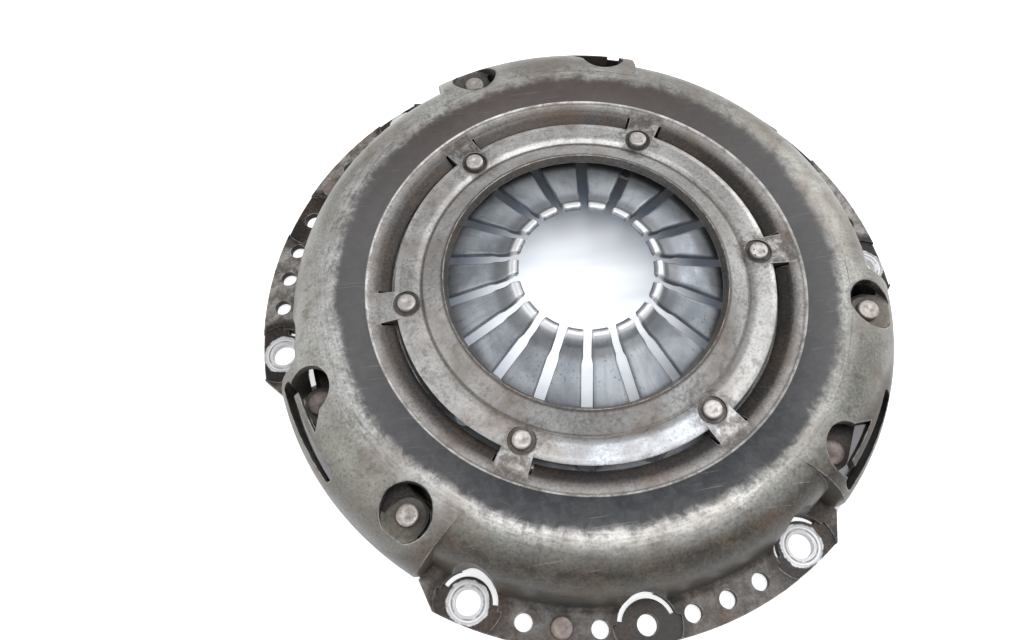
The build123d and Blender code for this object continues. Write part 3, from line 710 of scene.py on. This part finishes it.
ring_seat = 0.0328
ring_underside = 0.0300
ring_head_radius = 0.00355
ring_head_height = 0.0022
ring_head_dimple = 0.00025
ring_shank_radius = 0.0028
step_radius = 0.0038
collar_radius = 0.0090
collar_top = 0.01830
collar_side = 0.0018
collar_height = 0.0022
collar_foot_radius = 0.0086
rivet_pale = old_metal(
    "ring_rivet_steel", (0.46, 0.435, 0.415, 1),
    metallic=0.5, roughness=0.42, rust=0.4, pits=0.9, dirt_and_shade=0.6, patch_scale=190.0,
)
ring_head = head_outline(ring_head_radius, ring_seat, ring_seat + ring_head_height, ring_head_dimple)
ring_rivet = turned_form("ring_rivet", ring_head + [
    (ring_shank_radius, ring_seat), (ring_shank_radius, ring_underside), (step_radius, ring_underside),
    (step_radius, collar_top), (collar_radius, collar_top), (collar_radius, collar_top - collar_side),
    (collar_foot_radius, collar_top - collar_height), (0, collar_top - collar_height),
])
piece = set_around("ring_rivets", ring_rivet, 6, keyhole_place, 0.0, -60.0, rivet_pale)
fit(piece, "cover_assembly", [f"ring_rivet_{number}" for number in range(1, 7)])


# Cover: one deep drawing of 3.5 mm steel sheet. A dark band of paint is left inside the crown, the crown is
# scuffed bright with a painted highlight, the walls have a rust film, and the bolt heads have left bare
# seats on the flange.

# Distance in millimetres to the nearest of a ring of like places, such as rivets, and along the ring.
nearest, take, give = new_group(
    "nearest_of_ring",
    [("Radius", "Float", 0.0), ("Angle", "Float", 0.0), ("Count", "Float", 6.0), ("Circle", "Float", 100.0),
     ("Offset", "Float", 0.0)],
    [("Distance", "Float"), ("Along", "Float")],
)
turns = work_out(nearest, "MULTIPLY_ADD", take["Angle"], take["Count"], take["Offset"])
off = work_out(nearest, "SUBTRACT", work_out(nearest, "FRACT", work_out(nearest, "ADD", turns, 10.5)), 0.5)
arc = product(nearest, work_out(nearest, "DIVIDE", off, take["Count"]), 2 * math.pi, take["Circle"])
out = work_out(nearest, "SUBTRACT", take["Radius"], take["Circle"])
gap = vector_step(nearest, "LENGTH", vector_from(nearest, arc, out))["Value"]
feed(nearest, give, {"Distance": gap, "Along": work_out(nearest, "ABSOLUTE", arc)})


def gap_to_ring(tree, around, count, circle, offset=0.0):
    """Distances to the nearest of a count of like places on a circle, turned by an offset in steps."""
    return place_group(tree, nearest, {
        "Radius": around["Radius"], "Angle": around["Angle"], "Count": count, "Circle": circle,
        "Offset": offset,
    })


def off_from(tree, value, middle):
    """How far a value is from a middle, either way."""
    return work_out(tree, "ABSOLUTE", work_out(tree, "SUBTRACT", value, middle))


# Scratches: thin broken lines that run one way, in a few directions.
scratches, take, give = new_group("scratches", [("Place", "Vector", (0, 0, 0))], [("Mask", "Float")])
lines = []
for direction in (25.0, 80.0, 140.0):
    line_place = add_node(scratches, "ShaderNodeMapping", {
        "Vector": take["Place"], "Rotation": (0, 0, math.radians(direction)), "Scale": (38.0, 1500.0, 38.0),
    }).outputs[0]
    lines.append(ramp(scratches, noise(scratches, line_place, 1.0, detail=2.0, roughness=0.5), 0.70, 0.76))
most = work_out(scratches, "MAXIMUM", work_out(scratches, "MAXIMUM", lines[0], lines[1]), lines[2])
feed(scratches, give, {"Mask": most})

sheet_edge_round = 0.0008
crown_extra_round = 0.0030
crown_inner_edge = (86.5, 88.0)
crown_outer_edge = (104.0, 102.5)
scratched_above = (29.0, 33.0)
cover_steel, tree, shader, place = new_material("cover_steel")
around = place_group(tree, clutch_axis, {"Place": place})
radius, height, angle = around["Radius"], around["Height"], around["Angle"]
across, along = add_node(tree, "ShaderNodeSeparateXYZ", {0: place}).outputs[:2]
on_crown = between(tree, radius, crown_inner_edge, crown_outer_edge)
edge = place_group(tree, rounded_edge, {
    "Round": work_out(tree, "MULTIPLY_ADD", on_crown, crown_extra_round, sheet_edge_round),
})
ragged = noise(tree, place, 210.0, detail=6.0, roughness=0.7, distortion=0.5)
broad = noise(tree, place, 24.0, detail=3.0, roughness=0.5)
streak_place = vector_from(tree, product(tree, radius, 0.9), product(tree, angle, 60.0), height)
streaks = noise(tree, streak_place, 1.0)
scratch = place_group(tree, scratches, {"Place": place})["Mask"]
scratch = product(tree, scratch, ramp(tree, height, *scratched_above))

# Wall: grey-green bare steel, with grime that climbs from the flange, painted shade that takes it highest
# on the near side, and painted shade towards the wall's foot.
wall_dark = (0.17, 0.168, 0.145, 1)
wall_light = (0.31, 0.305, 0.28, 1)
wall_foot_shade_tone = (0.10, 0.098, 0.088, 1)
grime_and_shade_dark = (0.018, 0.015, 0.012, 1)
grime_and_shade_light = (0.075, 0.062, 0.048, 1)
blotch_tone = (0.085, 0.080, 0.066, 1)
grime_height = 12.0
grime_sway = 10.0
near_shade_rise = 19.0
grime_and_shade_fade = 6.0
wall_foot_shade = (33.0, 22.0)
near_from_middle = (-0.02, -0.085)
near_from_left = (-0.098, -0.062)
bare = mix_colour(tree, ramp(tree, broad, 0.3, 0.7), wall_dark, wall_light)
# Painted shade: the grime climbs higher on the near side, and the flange there is darker.
near_side_shade = product(tree, ramp(tree, along, *near_from_middle), ramp(tree, across, *near_from_left))
grime_and_shade_top = work_out(tree, "MULTIPLY_ADD", broad, grime_sway, grime_height)
grime_and_shade_top = work_out(tree, "MULTIPLY_ADD", near_side_shade, near_shade_rise, grime_and_shade_top)
grime_and_near_shade = ramp(tree, work_out(tree, "SUBTRACT", grime_and_shade_top, height), 0.0, grime_and_shade_fade)
grime_and_shade_tone = mix_colour(tree, ramp(tree, ragged, 0.4, 0.65), grime_and_shade_dark, grime_and_shade_light)
bare = tinted(tree, bare, grime_and_near_shade, 0.92, grime_and_shade_tone)
# Painted shade: the wall is darker towards its foot.
bare = tinted(tree, bare, ramp(tree, height, *wall_foot_shade), 0.6, wall_foot_shade_tone)
blotches = ramp(tree, noise(tree, place, 105.0, detail=5.0, roughness=0.68, distortion=0.6), 0.54, 0.66)
bare = tinted(tree, bare, blotches, 0.5, blotch_tone)

# Crown: scuffed and scratched just outside the paint, with a painted highlight there, strongest at the left
# and weakest at the right.
scuff_and_highlight_tone = (0.64, 0.63, 0.615, 1)
crest_inner_edge = (93.0, 97.0)
crest_outer_edge = (108.5, 98.5)
less_at_right = (0.015, 0.06)
left_highlight_side = (-0.06, -0.095)
crest_zone = between(tree, radius, crest_inner_edge, crest_outer_edge)
scuff_level = work_out(tree, "ADD", product(tree, ragged, 0.6), product(tree, streaks, 0.5))
# Painted highlight: the scuffs are stronger at the left and weaker at the right.
scuff_and_highlight_share = work_out(tree, "MULTIPLY_ADD", ramp(tree, across, *less_at_right), -0.65, 1.0)
scuff_and_highlight_share = work_out(tree, "MULTIPLY_ADD", ramp(tree, across, *left_highlight_side), 0.35, scuff_and_highlight_share)
scuffs_and_highlight = product(tree, crest_zone, ramp(tree, scuff_level, 0.34, 0.68), scuff_and_highlight_share, 0.7)
scuffs_and_highlight = work_out(tree, "MAXIMUM", scuffs_and_highlight, product(tree, scratch, 0.32))
bare = mix_colour(tree, scuffs_and_highlight, bare, scuff_and_highlight_tone)

# Inner ring: paler, with painted shade in a groove and along the inner lip, a painted highlight on the
# rolled rim, stains at the rivets, painted shade in the rivet seats, and tabs around it darkened by dirt
# and painted shade.
ring_dark = (0.28, 0.274, 0.264, 1)
ring_light = (0.435, 0.43, 0.42, 1)
rim_highlight = (0.62, 0.60, 0.58, 1)
groove_shade_tone = (0.075, 0.065, 0.058, 1)
smudge_tone = (0.15, 0.142, 0.132, 1)
lip_shade_tone = (0.05, 0.047, 0.044, 1)
wiped_tone = (0.46, 0.50, 0.56, 1)
shelf_dark = (0.14, 0.13, 0.122, 1)
shelf_light = (0.42, 0.405, 0.39, 1)
tab_dirt_and_shade_tone = (0.028, 0.022, 0.019, 1)
stain_tone = (0.06, 0.047, 0.04, 1)
rivet_seat_shade_tone = (0.034, 0.03, 0.027, 1)
rim_inner_edge = (71.4, 72.6)
rim_outer_edge = (74.6, 73.8)
groove_radius = 63.6
groove_side = (1.0, 0.3)
lip_shade_edge = (56.4, 55.4)
wiped_near = (-0.055, -0.062)
wiped_inner_edge = (64.6, 65.4)
wiped_right_end = (0.040, 0.030)
wiped_left_end = (-0.024, -0.016)
shelf_inner_edge = (79.0, 81.0)
ring_outer_edge = (85.0, 84.0)
tab_inner_edge = (74.4, 75.0)
tab_outer_edge = (83.8, 78.6)
tab_end = (5.4, 6.2)
stain_reach = (12.0, 4.0)
stain_left_end = (-0.072, -0.045)
bridge_side = (7.5, 5.0)
bridge_inner_edge = (71.0, 75.0)
bridge_outer_edge = (86.0, 84.0)
rivet_seat_shade_edge = (6.2, 4.6)
ring_tone = mix_colour(tree, ramp(tree, broad, 0.35, 0.65), ring_dark, ring_light)
# Painted highlight on the ring's rolled outer rim.
ring_tone = tinted(tree, ring_tone, between(tree, radius, rim_inner_edge, rim_outer_edge), 0.5, rim_highlight)
# Painted shade in the groove.
groove_shade = ramp(tree, off_from(tree, radius, groove_radius), *groove_side)
ring_tone = tinted(tree, ring_tone, groove_shade, 0.75, groove_shade_tone)
ring_tone = tinted(tree, ring_tone, ramp(tree, ragged, 0.50, 0.64), 0.45, smudge_tone)
# Painted shade along the inner lip.
ring_tone = tinted(tree, ring_tone, ramp(tree, radius, *lip_shade_edge), 0.8, lip_shade_tone)
wiped = product(
    tree, ramp(tree, along, *wiped_near), ramp(tree, radius, *wiped_inner_edge),
    ramp(tree, across, *wiped_right_end), ramp(tree, across, *wiped_left_end),
)
ring_tone = tinted(tree, ring_tone, wiped, 0.5, wiped_tone)
shelf_tone = mix_colour(tree, ragged, shelf_dark, shelf_light)
ring_tone = mix_colour(tree, ramp(tree, radius, *shelf_inner_edge), ring_tone, shelf_tone)
bare = mix_colour(tree, ramp(tree, radius, *ring_outer_edge), bare, ring_tone)
rivet_gap = gap_to_ring(tree, around, 6.0, keyhole_place * millimetres)
tab_zone = between(tree, radius, tab_inner_edge, tab_outer_edge)
tab_zone = product(tree, tab_zone, ramp(tree, rivet_gap["Along"], *tab_end))
# Dirt and painted shade darken the tabs.
bare = tinted(tree, bare, tab_zone, 0.92, tab_dirt_and_shade_tone)
stain = product(tree, ramp(tree, rivet_gap["Distance"], *stain_reach), ramp(tree, ragged, 0.36, 0.6))
bridge = product(
    tree, ramp(tree, rivet_gap["Along"], *bridge_side), ramp(tree, radius, *bridge_inner_edge),
    ramp(tree, ragged, 0.34, 0.56), ramp(tree, radius, *bridge_outer_edge),
)
stain = product(tree, work_out(tree, "MAXIMUM", stain, bridge), ramp(tree, across, *stain_left_end))
bare = tinted(tree, bare, stain, 0.75, stain_tone)
# Painted shade in the rivet seats.
bare = tinted(tree, bare, ramp(tree, rivet_gap["Distance"], *rivet_seat_shade_edge), 0.8, rivet_seat_shade_tone)

# Flange and strap pads: dark around the bolts and in the windows, pale and speckled between.
flange_dark = (0.12, 0.108, 0.095, 1)
flange_light = (0.34, 0.325, 0.305, 1)
oil_dark = (0.052, 0.046, 0.042, 1)
oil_light = (0.15, 0.14, 0.13, 1)
bolt_pad_tone = (0.022, 0.02, 0.019, 1)
window_tone = (0.05, 0.043, 0.037, 1)
bolt_circle = 125.0
dowel_circle = 126.0
flange_top = (7.0, 5.2)
bolt_pad_edge = (18.0, 12.5)
bolt_pad_sway = 5.0
window_edge = (9.5, 7.5)
window_floor = (25.6, 25.2)
pad_gap_start = (6.0, 6.8)
pad_gap_end = (10.4, 9.9)
pad_gap_inside = (113.0, 109.5)
flange_zone = ramp(tree, height, *flange_top)
bolt_gap = gap_to_ring(tree, around, 6.0, bolt_circle)
dowel_gap = gap_to_ring(tree, around, 6.0, dowel_circle, offset=0.5)
hole_gap = work_out(tree, "MINIMUM", bolt_gap["Distance"], dowel_gap["Distance"])
hole_gap = strayed(tree, hole_gap, ragged, bolt_pad_sway)
speckled = mix_colour(tree, ramp(tree, ragged, 0.38, 0.64), flange_dark, flange_light)
oily = mix_colour(tree, ramp(tree, ragged, 0.35, 0.70), oil_dark, oil_light)
flange_tone = mix_colour(tree, near_side_shade, speckled, oily)
flange_tone = mix_colour(tree, ramp(tree, hole_gap, *bolt_pad_edge), flange_tone, bolt_pad_tone)
bare = mix_colour(tree, flange_zone, bare, flange_tone)
strap_gap = gap_to_ring(tree, around, 3.0, cover_rivet_radius * millimetres, offset=0.125)
off_rivet = strap_gap["Distance"]
in_window = product(tree, ramp(tree, off_rivet, *window_edge), ramp(tree, height, *window_floor))
bare = tinted(tree, bare, in_window, 0.5, window_tone)
pad_shadow = product(
    tree, ramp(tree, off_rivet, *pad_gap_start), ramp(tree, radius, *pad_gap_inside),
    ramp(tree, off_rivet, *pad_gap_end),
)
old = place_group(tree, old_steel, {
    "Place": place, "Colour": bare, "Roughness": 0.38, "Rust": 0.6, "Pits": 0.3, "Dirt_and_shade": 0.9,
    "Patch scale": 38.0,
})

# Paint, a painted highlight on the ridge that bounds it, and the turned bolt seats lie over the aged steel.
paint_dark = (0.022, 0.024, 0.029, 1)
paint_light = (0.055, 0.056, 0.061, 1)
paint_far = (0.085, 0.062, 0.055, 1)
paint_side_tone = (0.125, 0.122, 0.122, 1)
paint_scratch = (0.3, 0.3, 0.3, 1)
shadow_black = (0.016, 0.015, 0.014, 1)
seat_dark = (0.52, 0.52, 0.53, 1)
seat_light = (0.90, 0.90, 0.91, 1)
seat_ring_tone = (0.22, 0.22, 0.22, 1)
sheet_edge_wear_and_highlight = (0.68, 0.66, 0.63, 1)
paint_inner_edge = (85.0, 85.4)
paint_outer_edge = (99.5, 94.5)
paint_sway = 7.0
lighter_sides = (0.045, 0.10)
ridge_inner_edge = (84.1, 84.5)
ridge_outer_edge = (85.3, 85.0)
seat_edge = (8.2, 7.5)
seat_sway = 3.0
seat_ring_radius = 5.9
seat_ring_side = (0.5, 0.2)
paint_reach = strayed(tree, strayed(tree, radius, ragged, paint_sway), broad, paint_sway)
band = product(tree, ramp(tree, radius, *paint_inner_edge), ramp(tree, paint_reach, *paint_outer_edge))
paint = mix_colour(tree, ramp(tree, ragged, 0.35, 0.75), paint_dark, paint_light)
far_side = work_out(tree, "MULTIPLY_ADD", along, 9.0, 0.1)
far_side = work_out(tree, "MULTIPLY", far_side, 0.75, clamp=True)
paint = mix_colour(tree, far_side, paint, paint_far)
# The paint is lighter towards the left and right sides.
paint_lighter_at_sides = ramp(tree, work_out(tree, "ABSOLUTE", across), *lighter_sides)
paint = tinted(tree, paint, paint_lighter_at_sides, 0.55, paint_side_tone)
paint = tinted(tree, paint, scratch, 0.25, paint_scratch)
coat = product(tree, band, 0.95)
coloured = mix_colour(tree, coat, old["Colour"], paint)
shadow = work_out(tree, "MAXIMUM", product(tree, tab_zone, 0.35), product(tree, pad_shadow, 0.95))
coloured = mix_colour(tree, shadow, coloured, shadow_black)
# Painted highlight: a broken bright line along the ridge at the paint's inner edge.
ridge = between(tree, radius, ridge_inner_edge, ridge_outer_edge)
broken = work_out(tree, "MULTIPLY_ADD", ramp(tree, ragged, 0.38, 0.62), 0.75, 0.1)
coloured = tinted(tree, coloured, ridge, broken, rim_highlight)
seat_reach = strayed(tree, bolt_gap["Distance"], ragged, seat_sway)
seat = product(tree, flange_zone, ramp(tree, seat_reach, *seat_edge))
turning = noise(tree, vector_from(tree, bolt_gap["Distance"], ragged), 3.0, detail=3.0)
seat_tone = mix_colour(tree, ramp(tree, turning, 0.35, 0.65), seat_dark, seat_light)
seat_ring = ramp(tree, off_from(tree, bolt_gap["Distance"], seat_ring_radius), *seat_ring_side)
seat_ring = product(tree, seat_ring, ramp(tree, ragged, 0.30, 0.60))
seat_tone = mix_colour(tree, seat_ring, seat_tone, seat_ring_tone)
coloured = mix_colour(tree, seat, coloured, seat_tone)
# Painted highlight and wear brighten the open edges, except on the crown.
edge_wear_and_highlight_share = product(tree, broken, work_out(tree, "SUBTRACT", 1.0, on_crown))
finish_surface(tree, shader, old, coloured, edge, edge_wear_and_highlight_share, sheet_edge_wear_and_highlight, depth=0.00008)
dull = work_out(tree, "MAXIMUM", coat, product(tree, grime_and_near_shade, 0.8))
metal = work_out(tree, "MULTIPLY_ADD", dull, -0.55, 0.58)
feed(tree, shader, {"Metallic": metal, "Specular IOR Level": 0.25})
dress("cover", cover_steel)


# Balance rivets: short steel rivets, brown with rust, set in two of the small flange holes.
# They bring the whole assembly into balance, and their feet are spread under the flange.

flange_upper_side = 0.0045
flange_underside = 0.001
balance_head_radius = 0.004
balance_head_height = 0.0016
balance_head_dimple = 0.0002
balance_shank_radius = 0.00315
balance_foot_radius = 0.0038
balance_foot_height = 0.0007
first_balance_angle = -104.0
balance_turn = -113.75
balance_foot_level = flange_underside - balance_foot_height
balance_head = head_outline(
    balance_head_radius, flange_upper_side, flange_upper_side + balance_head_height, balance_head_dimple,
)
balance_rivet = turned_form("balance_rivet", balance_head + [
    (balance_shank_radius, flange_upper_side), (balance_shank_radius, flange_underside),
    (balance_head_radius, flange_underside), (balance_foot_radius, balance_foot_level),
    (0, balance_foot_level),
])
piece = set_around(
    "balance_rivets", balance_rivet, 2, dowel_circle / millimetres, first_balance_angle, balance_turn,
    rivet_brown,
)
fit(piece, "cover_assembly", ["balance_rivet_1", "balance_rivet_2"])


# Table: a plain white sheet that curves up into a low backdrop all round, as in a small studio.
# It is bright to the eye outside the cover's walls and stations and under the finger tips, where the glow
# is a painted pool of light with painted streaks of reflection over a sheet tinted blue as painted shade,
# and it is plainly lit and shaded elsewhere under the cover.

sheet_height = -0.0003
middle_reach = 0.4
flat_reach = 1.5
bend_radius = 0.7
wall_height = 0.5
sheet_sides = 72
under_cover_tone = (0.82, 0.82, 0.83, 1)
blue_shade_under_spring = (0.70, 0.78, 0.89, 1)
glow_strength = 0.7
shade_centre = (0.0025, 0.0040, 0.0)
wall_circle = 115.0
station_depth = 14.0
station_end = (47.0, 43.0)
shade_fade = (-1.4, 1.4)
opening_edge = (60.0, 24.0)
blue_shade_edge = (60.0, 75.0)
glow_streak_direction = -25.0
glow_streak_scale = (14.0, 70.0, 1.0)
table_white, tree, shader, place = new_material("table_white")
tree.nodes.remove(shader)
rays = tree.nodes.new("ShaderNodeLightPath").outputs
seen = work_out(tree, "MAXIMUM", rays["Is Camera Ray"], rays["Is Glossy Ray"])
seen = work_out(tree, "MAXIMUM", seen, rays["Is Transmission Ray"])
around = place_group(tree, clutch_axis, {"Place": place})
from_shade = vector_step(tree, "SUBTRACT", place, shade_centre)["Vector"]
shade_radius = place_group(tree, clutch_axis, {"Place": from_shade})["Radius"]
station_gap = gap_to_ring(tree, around, 3.0, wall_circle, offset=0.25)
at_station = ramp(tree, station_gap["Along"], *station_end)
shade_edge = work_out(tree, "MULTIPLY_ADD", at_station, station_depth, wall_circle)
beyond_cover = ramp(tree, work_out(tree, "SUBTRACT", shade_radius, shade_edge), *shade_fade)
# Painted reflection: streaks in the glow under the opening.
glow_streak_place = add_node(tree, "ShaderNodeMapping", {
    "Vector": place, "Rotation": (0, 0, math.radians(glow_streak_direction)), "Scale": glow_streak_scale,
}).outputs[0]
glow_streaks = ramp(tree, noise(tree, glow_streak_place, 1.0, detail=3.0, roughness=0.5), 0.30, 0.62)
# Painted pool of light: the glow grows towards the middle of the opening.
glow_pool_in_opening = ramp(tree, around["Radius"], *opening_edge)
glow_pool_in_opening = product(tree, glow_pool_in_opening, work_out(tree, "MULTIPLY_ADD", glow_streaks, 0.25, 0.75))
seen = product(tree, seen, work_out(tree, "MAXIMUM", beyond_cover, glow_pool_in_opening))
# Painted shade: the sheet is tinted blue under the spring.
past_spring = ramp(tree, around["Radius"], *blue_shade_edge)
sheet_tone_with_blue_shade = mix_colour(tree, past_spring, blue_shade_under_spring, under_cover_tone)
matt = add_node(tree, "ShaderNodeBsdfDiffuse", {"Color": sheet_tone_with_blue_shade}).outputs[0]
glow = add_node(tree, "ShaderNodeEmission", {"Color": (1, 1, 1, 1), "Strength": glow_strength}).outputs[0]
lit = add_node(tree, "ShaderNodeAddShader", {0: matt, 1: glow}).outputs[0]
white = add_node(tree, "ShaderNodeMixShader", {0: seen, 1: matt, 2: lit}).outputs[0]
tree.links.new(white, tree.nodes["Material Output"].inputs["Surface"])
bend = [math.radians(degrees) for degrees in range(0, 91, 10)]
sheet_line = [(middle_reach, sheet_height)] + [
    (flat_reach + bend_radius * math.sin(a), sheet_height + bend_radius * (1 - math.cos(a))) for a in bend
] + [(flat_reach + bend_radius, bend_radius + wall_height)]
vertices = [(0, 0, sheet_height)]
for reach, level in sheet_line:
    vertices += [on_circle(reach, 360.0 * index / sheet_sides, level) for index in range(sheet_sides)]
faces = []
for index in range(sheet_sides):
    following = (index + 1) % sheet_sides
    faces.append((0, 1 + index, 1 + following))
    for row in range(len(sheet_line) - 1):
        low, high = 1 + row * sheet_sides, 1 + (row + 1) * sheet_sides
        faces.append((low + index, high + index, high + following, low + following))
new_piece("table", vertices, faces, table_white)


# Light: a soft lamp overhead, one at the far right and a low one at the left, as in a small studio.
# A dim surround, brighter towards the right, fills the shadows and shows in the metal.

lamp_target = (0, 0, 0.02)
surround_colour = (0.92, 0.95, 1.0, 1)
surround_level = 0.27
brighter_side = (0.24, -0.04, 0.14)


def soft_lamp(name, place, size, energy):
    """Square area lamp at a place, pointed at the object."""
    data = bpy.data.lights.new(name, "AREA")
    data.size = size
    data.energy = energy
    lamp = bpy.data.objects.new(name, data)
    bpy.context.collection.objects.link(lamp)
    lamp.location = place
    aim = [b - a for a, b in zip(place, lamp_target)]
    across = math.hypot(aim[0], aim[1])
    lamp.rotation_euler = (math.atan2(across, -aim[2]), 0, math.atan2(aim[1], aim[0]) - math.pi / 2)


soft_lamp("overhead_softbox", place=(0.20, -0.04, 1.00), size=0.7, energy=7.0)
soft_lamp("right_softbox", place=(0.85, 0.50, 0.55), size=0.7, energy=4.0)
soft_lamp("left_softbox", place=(-0.78, -0.10, 0.50), size=0.9, energy=3.2)
world = bpy.data.worlds.new("studio")
bpy.context.scene.world = world
world.use_nodes = True
tree = world.node_tree
direction = tree.nodes.new("ShaderNodeTexCoord").outputs["Generated"]
slant = vector_step(tree, "DOT_PRODUCT", direction, brighter_side)["Value"]
feed(tree, tree.nodes["Background"], {
    "Color": surround_colour, "Strength": work_out(tree, "ADD", slant, surround_level, clamp=True),
})


# Camera: above the near left side, looking down at the finger tips, with a moderate wide-angle lens.
# Its place, turn and lens were fitted to the six flange bolts and the six ring rivets.

sensor_width = 36.0
lens_length = 27.302
nearest_view = 0.01
camera_place = (-0.046395, -0.133849, 0.301938)
camera_turn = (24.3285, 0.75725, -9.0807)
camera_data = bpy.data.cameras.new("camera")
camera_data.sensor_width = sensor_width
camera_data.lens = lens_length
camera_data.clip_start = nearest_view
camera = bpy.data.objects.new("camera", camera_data)
bpy.context.collection.objects.link(camera)
camera.location = camera_place
camera.rotation_euler = [math.radians(degrees) for degrees in camera_turn]
bpy.context.scene.camera = camera
bpy.context.scene.view_settings.view_transform = "Standard"
